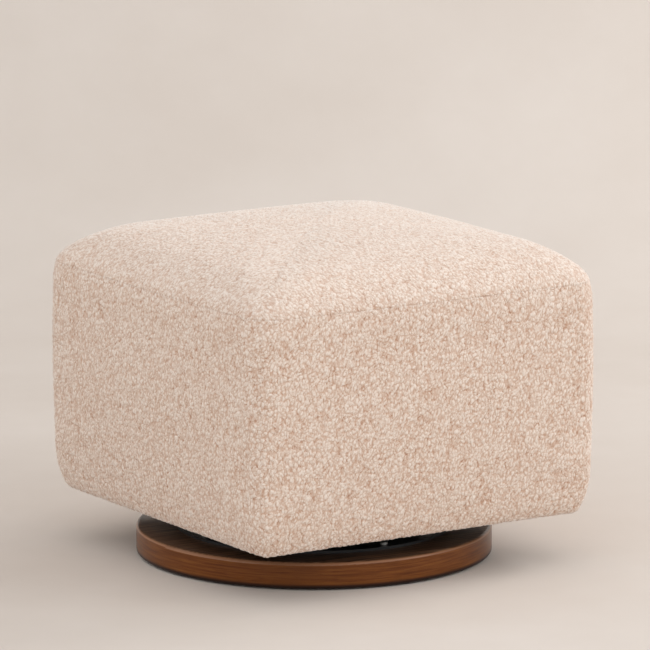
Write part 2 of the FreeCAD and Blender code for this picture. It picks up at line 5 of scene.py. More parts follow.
import bpy
import numpy as np
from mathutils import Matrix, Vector


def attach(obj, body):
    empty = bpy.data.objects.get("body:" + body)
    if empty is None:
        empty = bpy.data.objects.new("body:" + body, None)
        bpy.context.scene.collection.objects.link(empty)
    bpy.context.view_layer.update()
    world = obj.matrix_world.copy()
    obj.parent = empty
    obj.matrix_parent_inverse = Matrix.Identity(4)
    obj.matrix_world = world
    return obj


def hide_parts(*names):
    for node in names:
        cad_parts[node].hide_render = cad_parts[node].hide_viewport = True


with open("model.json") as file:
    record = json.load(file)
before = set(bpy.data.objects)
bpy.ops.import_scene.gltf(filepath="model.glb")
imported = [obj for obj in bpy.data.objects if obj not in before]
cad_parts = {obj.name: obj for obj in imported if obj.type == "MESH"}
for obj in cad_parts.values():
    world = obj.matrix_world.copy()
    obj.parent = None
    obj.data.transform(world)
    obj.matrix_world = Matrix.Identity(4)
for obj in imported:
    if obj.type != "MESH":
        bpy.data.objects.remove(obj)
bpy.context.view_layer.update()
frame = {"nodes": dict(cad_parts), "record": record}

MM = 0.001
SIDES = ("front", "right", "rear", "left")

# The soft body's sizes in millimetres, as in the part's source. What is called narrower is measured inwards
# from its half width and half depth
HALF_WIDTH = 250.0
HALF_DEPTH = 245.5
UNDERSIDE = 60.0
SEAM_HEIGHT = 343.0
UPPER_CORNER = 41.0
LOWER_CORNER = 21.0
SIDE_BOW = 6.0
LOWER_TAPER = 6.0
TAPER_POWER = 1.5
SEAM_DRAW_IN = 4.4
DRAW_IN_POWER = 5
UNDER_EDGE_HEIGHT = 67.0
UNDER_EDGE_WIDTH = 20.0
TOP_EDGE_RISE = 31.0
TOP_EDGE_WIDTH = 53.0
TOP_EDGE_POWER = 1.25
TOP_CROWN = 29.0
CORNER_GROWTH = 0.4
CROWN_ROUNDING = 0.6
LARGEST_RADIUS_SHARE = 0.9
DECK_TOP = 313.0
FRAME_NARROWER = 42.0
HEM_THICKNESS = 4.0
MOUTH_NARROWER = 87.0
MOUTH_RADIUS = 4.0
SEAM_HALF = (HALF_WIDTH + HALF_DEPTH) / 2 - SEAM_DRAW_IN

# Backs of the pads: where they start inside the seam, and their gaps to the frame and the deck
PAD_BELOW_SEAM = 5.0
CUSHION_BELOW_SEAM = 4.5
BACK_NARROWER = 12.0
BACK_RADIUS = 30.0
FRAME_RADIUS = 1.0
FRAME_GAP = 0.3
DECK_GAP = 0.4

# Sampling of the profiles and of the pile surfaces
HEM_STEPS = 40
UNDER_EDGE_STEPS = 60
SIDE_STEPS = 120
TOP_STEPS = 80
COLUMNS = 480
ROW_SPACING = 1.05
COARSE_STEP = 8
RINGS = COLUMNS // 2

# Cloth of the covers, blown out by the padding from a slightly smaller start
CLOTH_STEP = 16
CLOTH_FRAMES = 20
CLOTH_PRESSURE = 0.5
START_SMALLER = 3.5
START_UNEVEN = 1.5
UNEVEN_SIZE = 70.0
SWELL_CAP = 8.0
FIT_LIMIT = 2.0

# How much fuller the padding is than its measured surface: over the top, and in a band below the seam
FULLNESS = 1.6
SEAM_REACH = 10.0
BAND_BELOW_SEAM = 20.0
BAND_REACH = 17.0

# Relief of the pile against the measured surface, and how its tufts and creases stretch downwards
PILE_LOW = -1.3
PILE_HIGH = 0.5
NAP = np.array([1.0, 1.0, 0.78])
CREASE_NAP = np.array([1.0, 1.0, 0.68])

# Tufts, bent out of line by two fields of their own
TUFT_SIZE = 4.3
TUFT_BEND = 1.5
TUFT_BEND_SIZE = 3.4
CLUMP_BEND = 2.4
CLUMP_SIZE = 12.0

# Creases: their spacing, the field's value at their edge, how far the least open one opens, and the values
# between which they open fully
CREASE_SPACING = 5.2
CREASE_EDGE = 0.22
LEAST_OPEN = 0.35
OPENING = (-0.25, 0.35)

# Shares of the pile's height: the gaps between the tufts, the creases and the domes of the tufts. The gap's
# edge and the dome's radius are in tuft sizes
GAP_SHARE = 0.35
CREASE_SHARE = 0.3
DOME_SHARE = 0.35
GAP_EDGE = 0.35
DOME_RADIUS = 0.8

# The pile turns in at the seams and has a nub at each lower corner. At the hem it is flat up to one
# distance out from the frame, and at full height from another
SEAM_ROLL = 0.2
CORNER_ROLL = 0.1
HEM_FLAT = 2.0
HEM_FULL = 12.0
NUB_HEIGHT = 4.0
NUB_REACH = 6.0
NUB_SIZE = 1.6


# Random fields, evaluated on arrays of points in millimetres

def lattice_random(cell, seed):
    """Three numbers from 0 to 1 for each whole-number cell."""
    whole = cell.astype(np.int64).astype(np.uint32)
    key = (whole[:, 0] * np.uint32(0x8DA6B343)) ^ (whole[:, 1] * np.uint32(0xD8163841))
    key = key ^ (whole[:, 2] * np.uint32(0xCB1AB31F)) ^ np.uint32(seed * 0x3C6EF35F % 2 ** 32)
    numbers = []
    for _ in range(3):
        key = (key ^ (key >> np.uint32(16))) * np.uint32(0x7FEB352D)
        key = (key ^ (key >> np.uint32(15))) * np.uint32(0x846CA68B)
        key = key ^ (key >> np.uint32(16))
        numbers.append(key.astype(np.float32) / np.float32(2 ** 32))
        key = key + np.uint32(0x9E3779B9)
    return np.stack(numbers, axis=1)


def soft_noise(points, size, seed):
    """Smooth random vectors, each number from -1 to 1, whose features have the given size."""
    scaled = (points / size).astype(np.float32)
    base = np.floor(scaled)
    share = scaled - base
    share = share * share * (3 - 2 * share)
    total = np.zeros_like(scaled)
    for corner in np.ndindex(2, 2, 2):
        weight = np.prod(np.where(np.array(corner, bool), share, 1 - share), axis=1)
        total += weight[:, None] * lattice_random(base + np.array(corner, np.float32), seed)
    return 2 * total - 1


def cells(points, size, seed):
    """Distances to the nearest and second nearest scattered point, in cell sizes."""
    scaled = (points / size).astype(np.float32)
    base = np.floor(scaled)
    nearest = np.full(len(points), 9, np.float32)
    second = nearest.copy()
    for step in np.ndindex(3, 3, 3):
        cell = base + np.array(step, np.float32) - 1
        place = lattice_random(cell, seed)
        gap = np.sqrt(((cell + place - scaled) ** 2).sum(axis=1))
        closer = gap < nearest
        second = np.where(closer, nearest, np.minimum(second, gap))
        nearest = np.where(closer, gap, nearest)
    return nearest, second


def smooth_step(low, high, value):
    """0 at the low value and 1 at the high one, with a smooth rise between."""
    share = np.clip((value - low) / (high - low), 0, 1)
    return share * share * (3 - 2 * share)


def pile(points):
    """The curly pile at each point: its height from 0 to 1; two fields that cross zero in the long creases
    and one that falls to zero between the tufts; and how open the long creases are."""
    bent = points * NAP + TUFT_BEND * soft_noise(points, TUFT_BEND_SIZE, seed=1)
    bent = bent + CLUMP_BEND * soft_noise(points, CLUMP_SIZE, seed=2)
    near, far = cells(bent, TUFT_SIZE, seed=4)
    curls = soft_noise(bent * CREASE_NAP, CREASE_SPACING, seed=3)
    opened = LEAST_OPEN + (1 - LEAST_OPEN) * smooth_step(*OPENING, curls[:, 2])
    curls[:, 2] = far - near
    crease = np.abs(curls[:, :2]).min(axis=1)
    line = 1 - opened * (1 - smooth_step(0.0, CREASE_EDGE, crease))
    gap = smooth_step(0.0, GAP_EDGE, far - near)
    dome = 1 - np.minimum(near / DOME_RADIUS, 1) ** 2
    height = GAP_SHARE * gap + CREASE_SHARE * line + DOME_SHARE * dome
    return height, curls, opened


# Shape of the soft body

def quarter_line(half_along, half_out, radius, bow, shares):
    """One side of a level outline, as distances along it and outwards. The shares run from -1 at the middle
    of one rounded corner to 1 at the middle of the next."""
    flat_along = half_along - radius
    flat_out = half_out - radius
    reach = np.abs(shares) * (flat_along + radius * math.pi / 4)
    on_flat = reach <= flat_along
    turn = math.pi / 2 - (reach - flat_along) / radius
    along = np.where(on_flat, reach, flat_along + radius * np.cos(turn))
    bulge = bow * (1 - (np.minimum(reach, flat_along) / flat_along) ** 2)
    out = np.where(on_flat, half_out + bulge, flat_out + radius * np.sin(turn))
    return np.sign(shares) * along, out


def side_line(side, half_x, half_y, radius, bow, shares):
    """A named side of the level outline that has these half sizes, as distances along it and outwards."""
    if side in ("front", "rear"):
        return quarter_line(half_x, half_y, radius, bow, shares)
    return quarter_line(half_y, half_x, radius, bow, shares)


def side_points(side, narrower, radius, bow, height, shares):
    """Points of one side's outline at one level, in millimetres, left to right as seen from outside."""
    along, out = side_line(side, HALF_WIDTH - narrower, HALF_DEPTH - narrower, radius, bow, shares)
    turned = {
        "front": (along, -out),
        "right": (out, along),
        "rear": (-along, out),
        "left": (-out, -along),
    }
    x, y = turned[side]
    return np.stack([x, y, np.full_like(x, height)], axis=1)


def even_steps(sections, spacing=None, count=None):
    """Sections of a profile, resampled at even steps along it, and how far along each step lies. Columns 0
    and 1 hold the line that is measured."""
    sections = np.array(sections)
    lengths = np.hypot(np.diff(sections[:, 0]), np.diff(sections[:, 1]))
    reach = np.concatenate([[0], np.cumsum(lengths)])
    steps = count or int(round(reach[-1] / spacing))
    places = np.linspace(0, reach[-1], steps + 1)
    resampled = [np.interp(places, reach, sections[:, column]) for column in range(sections.shape[1])]
    return np.stack(resampled, axis=1), places


def side_sections():
    """Height, narrower, corner radius and bow of a side panel, from the hem's inner edge to the seam."""
    rows = []
    edge_narrower = LOWER_TAPER + UNDER_EDGE_WIDTH
    for share in np.linspace(1, 0, HEM_STEPS, endpoint=False):
        narrower = edge_narrower + share * (MOUTH_NARROWER - edge_narrower)
        radius = LOWER_CORNER + (MOUTH_RADIUS - LOWER_CORNER) * share
        rows.append((UNDERSIDE, narrower, radius, SIDE_BOW / 2 * (1 - share)))
    for angle in np.linspace(0, math.pi / 2, UNDER_EDGE_STEPS, endpoint=False):
        height = UNDERSIDE + UNDER_EDGE_HEIGHT * (1 - math.cos(angle))
        narrower = LOWER_TAPER + UNDER_EDGE_WIDTH * (1 - math.sin(angle))
        rows.append((height, narrower, corner_radius_at(height), SIDE_BOW / 2))
    edge_top = UNDERSIDE + UNDER_EDGE_HEIGHT
    for share in np.linspace(0, 1, SIDE_STEPS):
        height = edge_top + share * (SEAM_HEIGHT - edge_top)
        narrower = LOWER_TAPER * (1 - share) ** TAPER_POWER + SEAM_DRAW_IN * share ** DRAW_IN_POWER
        bow = SIDE_BOW * (1 + math.sin(math.pi * share)) / 2
        rows.append((height, narrower, corner_radius_at(height), bow))
    return rows


def corner_radius_at(height):
    """Radius of the body's corners at one height, growing evenly up to the seam."""
    share = (height - UNDERSIDE) / (SEAM_HEIGHT - UNDERSIDE)
    return LOWER_CORNER + (UPPER_CORNER - LOWER_CORNER) * min(share, 1)


def crown_height(reach):
    """Rise of the crown at a share of the way from the middle to the seam."""
    return TOP_CROWN * (1 - reach ** 2)


def top_sections():
    """Height, half width, half depth, corner radius and bow of the top's rings, from the middle out."""
    rows = []
    flat_x = HALF_WIDTH - SEAM_DRAW_IN - TOP_EDGE_WIDTH
    flat_y = HALF_DEPTH - SEAM_DRAW_IN - TOP_EDGE_WIDTH
    flat_radius = UPPER_CORNER + CORNER_GROWTH * TOP_EDGE_WIDTH
    for share in np.linspace(0, 1, TOP_STEPS, endpoint=False):
        rise = TOP_EDGE_RISE + crown_height(share * (1 - TOP_EDGE_WIDTH / SEAM_HALF))
        rounder = flat_radius + (1 - share) * CROWN_ROUNDING * (flat_y - flat_radius)
        radius = min(rounder, LARGEST_RADIUS_SHARE * share * flat_y)
        rows.append((SEAM_HEIGHT + rise, flat_x * share, flat_y * share, radius, share * SIDE_BOW / 2))
    for angle in np.linspace(math.pi / 2, 0, TOP_STEPS):
        over = TOP_EDGE_WIDTH * (1 - abs(math.cos(angle)) ** TOP_EDGE_POWER)
        rise = TOP_EDGE_RISE * math.sin(angle) ** TOP_EDGE_POWER + crown_height(1 - over / SEAM_HALF)
        half_x = HALF_WIDTH - (SEAM_DRAW_IN + over)
        half_y = HALF_DEPTH - (SEAM_DRAW_IN + over)
        radius = UPPER_CORNER + CORNER_GROWTH * over
        rows.append((SEAM_HEIGHT + rise, half_x, half_y, radius, SIDE_BOW / 2))
    return rows


def rolled(distance, roll):
    """How far the surface turns in, towards a seam, at a distance from it."""
    share = np.clip(1 - distance / roll, 0, 1)
    return roll * (1 - np.sqrt(1 - share ** 2))


def grid_normals(points):
    """Unit normals of a grid of points."""
    across = np.gradient(points, axis=1)
    up = np.gradient(points, axis=0)
    normals = np.cross(across, up)
    return normals / np.maximum(np.linalg.norm(normals, axis=2, keepdims=True), 1e-9)


def cubic_weights(places, count):
    """Weights that carry values at whole places on to the places between, along a smooth curve."""
    first = np.clip(np.floor(places).astype(int), 0, count - 2)
    t = places - first
    before = -t + 2 * t ** 2 - t ** 3
    here = 2 - 5 * t ** 2 + 3 * t ** 3
    there = t + 4 * t ** 2 - 3 * t ** 3
    after = t ** 3 - t ** 2
    parts = np.stack([before, here, there, after], axis=1) / 2
    weights = np.zeros((len(places), count))
    for step in range(4):
        column = np.clip(first + step - 1, 0, count - 1)
        np.add.at(weights, (np.arange(len(places)), column), parts[:, step])
    return weights


def blown_out(start, loose):
    """A coarse panel's points once pressure has blown its cloth out, held where it isn't loose."""
    panel = mesh_object("panel", start.reshape(-1, 3), grid_quads(*loose.shape), [], {})
    held = panel.vertex_groups.new(name="held")
    for index, share in enumerate((1 - loose).ravel()):
        held.add([index], float(share), "REPLACE")
    cloth = panel.modifiers.new("cloth", "CLOTH")
    cloth.settings.vertex_group_mass = "held"
    cloth.settings.use_pressure = True
    cloth.settings.uniform_pressure_force = CLOTH_PRESSURE
    cloth.settings.effector_weights.gravity = 0
    cloth.point_cache.frame_end = CLOTH_FRAMES
    for number in range(1, CLOTH_FRAMES + 1):
        bpy.context.scene.frame_set(number)
    blown = panel.evaluated_get(bpy.context.evaluated_depsgraph_get()).data
    places = np.zeros(start.size, np.float32)
    blown.vertices.foreach_get("co", places)
    bpy.data.objects.remove(panel)
    bpy.context.scene.frame_set(1)
    return places.reshape(start.shape) / MM


def swelling(points, normals, free):
    """How far a panel's cloth stands off its measured surface once the padding has blown it out."""
    rows, columns = len(points), points.shape[1]
    row_count = rows // CLOTH_STEP + 1
    column_count = columns // CLOTH_STEP + 1
    row_at = np.round(np.linspace(0, rows - 1, row_count)).astype(int)
    column_at = np.round(np.linspace(0, columns - 1, column_count)).astype(int)
    pick = np.ix_(row_at, column_at)
    surface = points[pick]
    outward = normals[pick]
    loose = free[pick].copy()
    loose[[0, -1]] = 0
    loose[:, [0, -1]] = 0
    across = np.sin(math.pi * np.linspace(0, 1, column_count))[None, :]
    along = np.sin(math.pi * np.linspace(0, 1, row_count))[:, None]
    window = loose * np.sqrt(across * along)
    uneven = START_UNEVEN * soft_noise(surface.reshape(-1, 3), UNEVEN_SIZE, seed=8)[:, 0]
    smaller = (START_SMALLER + uneven.reshape(window.shape)) * window
    start = surface - outward * smaller[..., None]
    moved = blown_out(start, loose) - start
    out = np.clip((moved * outward).sum(axis=2), 0, SWELL_CAP) - smaller
    out = FIT_LIMIT * np.tanh(out / FIT_LIMIT)
    row_places = np.interp(np.arange(rows), row_at, np.arange(row_count))
    column_places = np.interp(np.arange(columns), column_at, np.arange(column_count))
    return cubic_weights(row_places, row_count) @ out @ cubic_weights(column_places, column_count).T


def side_grid(side):
    """A side panel's pile surface, and the values that its material reads."""
    sections, _ = even_steps(side_sections(), spacing=ROW_SPACING)
    shares = np.linspace(-1, 1, COLUMNS + 1)
    points = np.stack([side_points(side, narrower, radius, bow, height, shares)
                       for height, narrower, radius, bow in sections])
    normals = grid_normals(points)
    rows_out = np.linalg.norm(np.diff(points, axis=0), axis=2)
    to_seam = np.concatenate([np.cumsum(rows_out[::-1], axis=0)[::-1], np.zeros((1, COLUMNS + 1))])
    step_out = np.linalg.norm(np.diff(points, axis=1), axis=2)
    reach = np.concatenate([np.zeros((len(points), 1)), np.cumsum(step_out, axis=1)], axis=1)
    to_corner = np.minimum(reach, reach[:, -1:] - reach)
    height, curls, opened = pile(points.reshape(-1, 3))
    # The hem lies flat where the dust cover holds it against the frame
    free = smooth_step(FRAME_NARROWER - HEM_FLAT, FRAME_NARROWER - HEM_FULL, sections[:, 1])[:, None]
    relief = free * (PILE_LOW + (PILE_HIGH - PILE_LOW) * height.reshape(to_seam.shape))
    relief = relief - rolled(to_seam, SEAM_ROLL) - rolled(to_corner, CORNER_ROLL)
    relief = relief + swelling(points, normals, np.broadcast_to(free, to_seam.shape))
    relief = relief + FULLNESS * np.exp(-((to_seam - BAND_BELOW_SEAM) / BAND_REACH) ** 2)
    from_nub = np.hypot(to_corner, sections[:, 0][:, None] - UNDERSIDE - NUB_HEIGHT)
    relief = relief + free * NUB_SIZE * np.exp(-(from_nub / NUB_REACH) ** 2)
    return points + normals * relief[..., None], {"pile": height, "curls": curls, "opened": opened}


def top_grid():
    """The top panel's pile surface, a grid of nested rings, and the values that its material reads."""
    rows = np.array(top_sections())
    profile, places = even_steps(np.column_stack([rows[:, 0], -rows[:, 1], rows[:, 1:]]), count=RINGS)
    size = COLUMNS + 1
    points = np.zeros((size, size, 3))
    points[RINGS, RINGS] = (0, 0, profile[0, 0])
    for ring in range(1, RINGS + 1):
        height, _, half_x, half_y, radius, bow = profile[ring]
        shares = np.arange(-ring, ring + 1) / ring
        low = RINGS - ring
        high = RINGS + ring
        span = slice(low, high + 1)
        lines = {"front": (low, span), "rear": (high, span), "left": (span, low), "right": (span, high)}
        for side, (row, column) in lines.items():
            along, out = side_line(side, half_x, half_y, radius, bow, shares)
            if side in ("front", "left"):
                out = -out
            x, y = (along, out) if side in ("front", "rear") else (out, along)
            points[row, column, 0] = x
            points[row, column, 1] = y
            points[row, column, 2] = height
    normals = grid_normals(points)
    index = np.arange(size) - RINGS
    ring_of = np.maximum(np.abs(index)[:, None], np.abs(index)[None, :])
    to_seam = (places[-1] - places)[ring_of]
    height, curls, opened = pile(points.reshape(-1, 3))
    relief = PILE_LOW + (PILE_HIGH - PILE_LOW) * height.reshape(size, size) - rolled(to_seam, SEAM_ROLL)
    relief = relief + swelling(points, normals, np.ones((size, size)))
    at_seam = math.exp(-(BAND_BELOW_SEAM / BAND_REACH) ** 2)
    relief = relief + FULLNESS * (1 - (1 - at_seam) * np.exp(-(to_seam / SEAM_REACH) ** 2))
    return points + normals * relief[..., None], {"pile": height, "curls": curls, "opened": opened}


# Meshes

def mesh_object(name, points, quads, polygons, values):
    """An object from points in millimetres, an array of quads, lists of other faces, and point values."""
    loops = np.concatenate([quads.ravel()] + [np.array(face) for face in polygons])
    sizes = np.concatenate([np.full(len(quads), 4), [len(face) for face in polygons]]).astype(int)
    mesh = bpy.data.meshes.new(name)
    mesh.vertices.add(len(points))
    mesh.vertices.foreach_set("co", (points * MM).astype(np.float32).ravel())
    mesh.loops.add(len(loops))
    mesh.loops.foreach_set("vertex_index", loops.astype(np.int32))
    mesh.polygons.add(len(sizes))
    mesh.polygons.foreach_set("loop_start", np.concatenate([[0], np.cumsum(sizes)[:-1]]).astype(np.int32))
    smooth = np.zeros(len(sizes), bool)
    smooth[:len(quads)] = True
    mesh.polygons.foreach_set("use_smooth", smooth)
    mesh.update(calc_edges=True)
    for key, numbers in values.items():
        filled = np.zeros((len(points),) + numbers.shape[1:], np.float32)
        filled[:len(numbers)] = numbers
        is_vector = numbers.ndim > 1
        attribute = mesh.attributes.new(key, "FLOAT_VECTOR" if is_vector else "FLOAT", "POINT")
        attribute.data.foreach_set("vector" if is_vector else "value", filled.ravel())
    mesh.validate()
    piece = bpy.data.objects.new(name, mesh)
    bpy.context.scene.collection.objects.link(piece)
    return piece


def grid_quads(rows, columns, start=0):
    """Quads of a grid of points, whose numbers begin at start."""
    index = start + np.arange(rows * columns).reshape(rows, columns)
    quads = np.stack([index[:-1, :-1], index[:-1, 1:], index[1:, 1:], index[1:, :-1]], axis=-1)
    return quads.reshape(-1, 4)


def side_pad(side):
    """A side pad: pile outside, hem turned under, flat back against the frame."""
    surface, values = side_grid(side)
    rows, columns = surface.shape[:2]
    outer = np.arange(rows * columns).reshape(rows, columns)
    coarse = np.linspace(-1, 1, COLUMNS // COARSE_STEP + 1)
    hem_top = UNDERSIDE + HEM_THICKNESS - FRAME_GAP
    # Height, narrower and corner radius of the back's four levels, from the seam down and under the frame
    back = [
        (SEAM_HEIGHT - PAD_BELOW_SEAM, BACK_NARROWER, BACK_RADIUS),
        (DECK_TOP + FRAME_GAP, FRAME_NARROWER - FRAME_GAP, FRAME_RADIUS),
        (hem_top, FRAME_NARROWER - FRAME_GAP, FRAME_RADIUS),
        (hem_top, MOUTH_NARROWER, MOUTH_RADIUS),
    ]
    back_points = np.concatenate([side_points(side, narrower, radius, 0, height, coarse)
                                  for height, narrower, radius in back])
    inner = rows * columns + np.arange(len(back_points)).reshape(len(back), -1)
    quads = np.concatenate([grid_quads(rows, columns), grid_quads(*inner.shape, start=inner[0, 0])])
    polygons = stitches(outer[-1], inner[0], False) + stitches(outer[0], inner[-1], True)
    polygons.append(list(outer[::-1, 0]) + list(inner[:, 0]))
    polygons.append(list(outer[:, -1]) + list(inner[:, -1]))
    points = np.concatenate([surface.reshape(-1, 3), back_points])
    return mesh_object(side + "_pad", points, quads, polygons, values)


def stitches(fine, coarse, flip):
    """Faces between a finely divided edge and a coarse one beside it."""
    faces = []
    for step in range(len(coarse) - 1):
        run = list(fine[step * COARSE_STEP:(step + 1) * COARSE_STEP + 1])
        face = run + [coarse[step + 1], coarse[step]]
        faces.append(face[::-1] if flip else face)
    return faces


def top_cushion():
    """The top cushion: crowned pile above, and a flat bottom on the deck."""
    surface, values = top_grid()
    size = COLUMNS + 1
    outer = np.arange(size * size).reshape(size, size)
    rim = np.concatenate([outer[0, :-1], outer[:-1, -1], outer[-1, :0:-1], outer[:0:-1, 0]])
    coarse = np.linspace(-1, 1, COLUMNS // COARSE_STEP + 1)[:-1]
    levels = [
        (SEAM_HEIGHT - CUSHION_BELOW_SEAM, BACK_NARROWER, BACK_RADIUS),
        (DECK_TOP + DECK_GAP, FRAME_NARROWER, FRAME_RADIUS),
    ]
    rings = []
    for height, narrower, radius in levels:
        ring = [side_points(side, narrower, radius, 0, height, coarse) for side in SIDES]
        rings.append(np.concatenate(ring))
    count = len(rings[0])
    first = size * size + np.arange(count)
    second = first + count
    polygons = stitches(np.append(rim, rim[0]), np.append(first, first[0]), True)
    polygons.append(list(second[::-1]))
    band = np.stack([first, np.roll(first, -1), np.roll(second, -1), second], axis=1)[:, ::-1]
    quads = np.concatenate([grid_quads(size, size), band])
    points = np.concatenate([surface.reshape(-1, 3)] + rings)
    return mesh_object("top_cushion", points, quads, polygons, values)


# Materials

# The wooden base in metres: its radius, and the heights between which its foot is darkened with painted
# shade
BASE_RADIUS = 0.215
FOOT_SHADE_TOP = 0.0085
FOOT_SHADE_BOTTOM = 0.0045


def linear(red, green, blue):
    """A colour given as it looks on a screen, from 0 to 255, as the shader takes it."""
    def one(value):
        share = value / 255
        return share / 12.92 if share <= 0.04045 else ((share + 0.055) / 1.055) ** 2.4
    return (one(red), one(green), one(blue), 1.0)


class Shader:
    """A material and a short way to add nodes to it."""

    def __init__(self, name, **settings):
        self.material = bpy.data.materials.new(name)
        self.material.use_nodes = True
        self.tree = self.material.node_tree
        self.surface = self.tree.nodes["Principled BSDF"]
        self.set(self.surface, settings)

    def set(self, node, settings):
        """Sets a node's inputs, by name or number, to a value or to what another node puts out."""
        for key, value in settings.items():
            socket = node.inputs[key if isinstance(key, int) else key.replace("_", " ")]
            if isinstance(value, bpy.types.NodeSocket):
                self.tree.links.new(value, socket)
            else:
                socket.default_value = value

    def add(self, kind, options=None, **settings):
        """A new node with its options and inputs."""
        node = self.tree.nodes.new("ShaderNode" + kind)
        for key, value in (options or {}).items():
            setattr(node, key, value)
        self.set(node, settings)
        return node

    def stretch(self, spot, scale):
        return self.add("Mapping", Vector=spot, Scale=scale).outputs[0]

    def place(self, scale=(1, 1, 1), turn=(0, 0, 0)):
        """Object coordinates, turned and then stretched."""
        spot = self.add("TexCoord").outputs["Object"]
        if any(turn):
            spot = self.add("Mapping", Vector=spot, Rotation=turn).outputs[0]
        return self.stretch(spot, scale)

    def attribute(self, name, output="Fac"):
        """A value that the mesh holds at its points."""
        return self.add("Attribute", {"attribute_name": name}).outputs[output]

    def upward(self):
        """How far the surface faces up: 1 on top, 0 on an upright side."""
        normal = self.add("NewGeometry").outputs["Normal"]
        return self.add("SeparateXYZ", Vector=normal).outputs["Z"]

    def noise(self, spot, scale, detail=3.0, roughness=0.5, distortion=0.0):
        return self.add("TexNoise", Vector=spot, Scale=scale, Detail=detail, Roughness=roughness,
                        Distortion=distortion).outputs["Fac"]

    def math(self, operation, first, second=0.0, third=0.0):
        node = self.add("Math", {"operation": operation})
        for index, value in enumerate((first, second, third)):
            self.set(node, {index: value})
        return node.outputs[0]

    def weighted(self, *terms):
        """The sum of some values, each times its weight."""
        total = 0.0
        for value, weight in terms:
            total = self.math("MULTIPLY_ADD", value, weight, total)
        return total

    def step(self, value, low, high):
        """0 at the low value and 1 at the high one, with a smooth rise between."""
        node = self.add("MapRange", {"interpolation_type": "SMOOTHSTEP"}, Value=value)
        self.set(node, {1: low, 2: high})
        return node.outputs[0]

    def ramp(self, factor, *stops):
        """A colour that follows a factor through stops, each a position and a colour."""
        node = self.add("ValToRGB", Fac=factor)
        elements = node.color_ramp.elements
        while len(elements) < len(stops):
            elements.new(0.5)
        for element, (position, colour) in zip(elements, stops):
            element.position = position
            element.color = colour
        return node.outputs["Color"]

    def mix(self, factor, first, second):
        node = self.add("Mix", {"data_type": "RGBA"})
        self.set(node, {0: factor, 6: first, 7: second})
        return node.outputs[2]

    def bump(self, height, strength, distance):
        return self.add("Bump", Height=height, Strength=strength, Distance=distance).outputs[0]

    def finish(self, **settings):
        """Sets the surface's last inputs and gives the material."""
        self.set(self.surface, settings)
        return self.material


def pile_fabric():
    """Curly pile: light tips, with painted shade in the creases, in the gaps between the curls and low in
    the pile, and fine fibres with partings among them. What faces up is painted a little paler, a painted
    sheen."""
    shader = Shader("pile_fabric", Roughness=0.95, Specular_IOR_Level=0.1, Sheen_Weight=0.8,
                    Sheen_Roughness=0.35, Sheen_Tint=(1.0, 0.99, 0.98, 1.0))
    depth = shader.attribute("pile")
    opened = shader.attribute("opened")
    curls = shader.add("SeparateXYZ", Vector=shader.attribute("curls", "Vector")).outputs
    crease = shader.math("MINIMUM", *[shader.math("ABSOLUTE", curls[axis]) for axis in "XY"])
    inside = shader.math("SUBTRACT", 1.0, shader.step(crease, 0.0, 0.1))
    line = shader.math("SUBTRACT", 1.0, shader.math("MULTIPLY", opened, inside))
    tuft = shader.step(curls["Z"], 0.0, 0.24)
    fibre = shader.noise(shader.place((1, 1, 0.8)), 600.0, 3.0, 0.6)
    strand = shader.noise(shader.place((1, 1, 0.4)), 210.0, 1.5, 0.5, 0.6)
    parting = shader.step(shader.math("ABSOLUTE", shader.math("SUBTRACT", strand, 0.5)), 0.0, 0.055)
    fibre_tone = shader.math("SUBTRACT", fibre, 0.57)
    # Painted shade: the colour darkens in the gaps between the tufts, in the creases and low in the pile,
    # where shade falls; the fibres and partings add their own random tone
    tone_and_recess_shade = shader.weighted((depth, 0.15), (tuft, 0.36), (line, 0.28), (parting, 0.22), (fibre_tone, 0.8))
    colour = shader.ramp(tone_and_recess_shade, (0.0, linear(169, 128, 104)), (0.4, linear(201, 170, 150)),
                         (0.75, linear(218, 198, 183)), (1.0, linear(235, 223, 213)))
    # Painted sheen: what faces up is mixed towards a paler colour, a painted highlight of the light on the
    # top
    painted_top_sheen = shader.math("MULTIPLY", shader.step(shader.upward(), 0.05, 0.6), 0.1)
    colour = shader.mix(painted_top_sheen, colour, linear(240, 234, 229))
    height = shader.weighted((tuft, 1.0), (parting, 0.4), (fibre, 0.8))
    return shader.finish(Base_Color=colour, Normal=shader.bump(height, 0.25, 0.0008))


